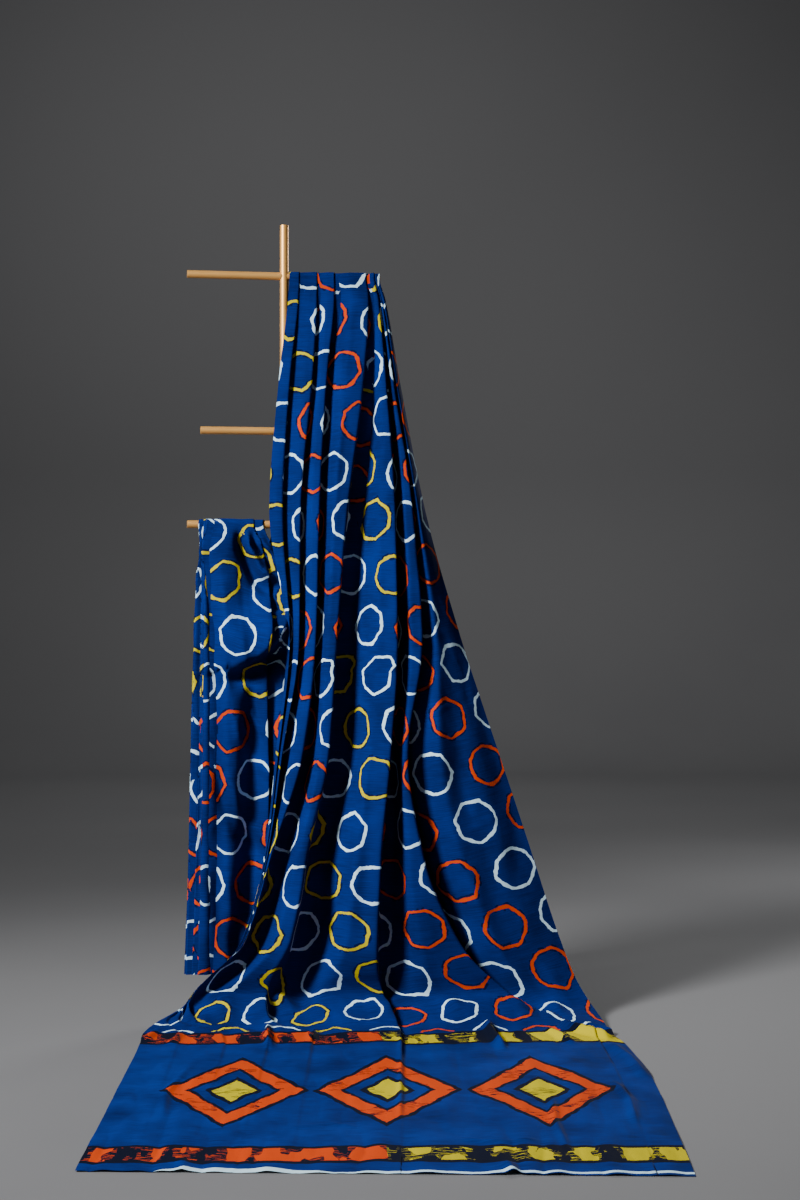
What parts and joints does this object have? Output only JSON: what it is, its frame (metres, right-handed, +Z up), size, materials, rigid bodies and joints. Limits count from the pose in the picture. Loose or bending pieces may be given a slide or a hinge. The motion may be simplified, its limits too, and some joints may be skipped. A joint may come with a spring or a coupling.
{
  "type": "saree draped on a display stand",
  "caption": "Length of printed cotton saree, pleated over the top bar of a free-standing pole with crossbars, its end spread flat on the floor in front.",
  "frame": {"origin": "where the pole's axis meets the floor, at the underside of the round base", "axes": "+Z up along the pole; +X to the right along the saree's width, seen from the front; -Y to the front, where the saree's end lies on the floor"},
  "size_m": [1.196, 1.5959, 2.04],
  "materials": {
    "gold": "satin gold lacquer on steel, a soft long highlight down the tubes",
    "cotton": "plain-woven printed cotton, cobalt ground with hand-drawn white, yellow and orange rings, matt with a slight sheen"
  },
  "bodies": {
    "root": {"base": "gold", "pole": "gold", "top_bar_left": "gold", "top_bar_right": "gold", "middle_bar_left": "gold", "middle_bar_right": "gold", "lower_bar_left": "gold", "lower_bar_right": "gold", "pallu": "cotton", "front_fall": "cotton", "top_turn": "cotton", "back_fall": "cotton", "loop": "cotton", "lower_turn": "cotton", "left_fall": "cotton"}
  },
  "joints": []
}
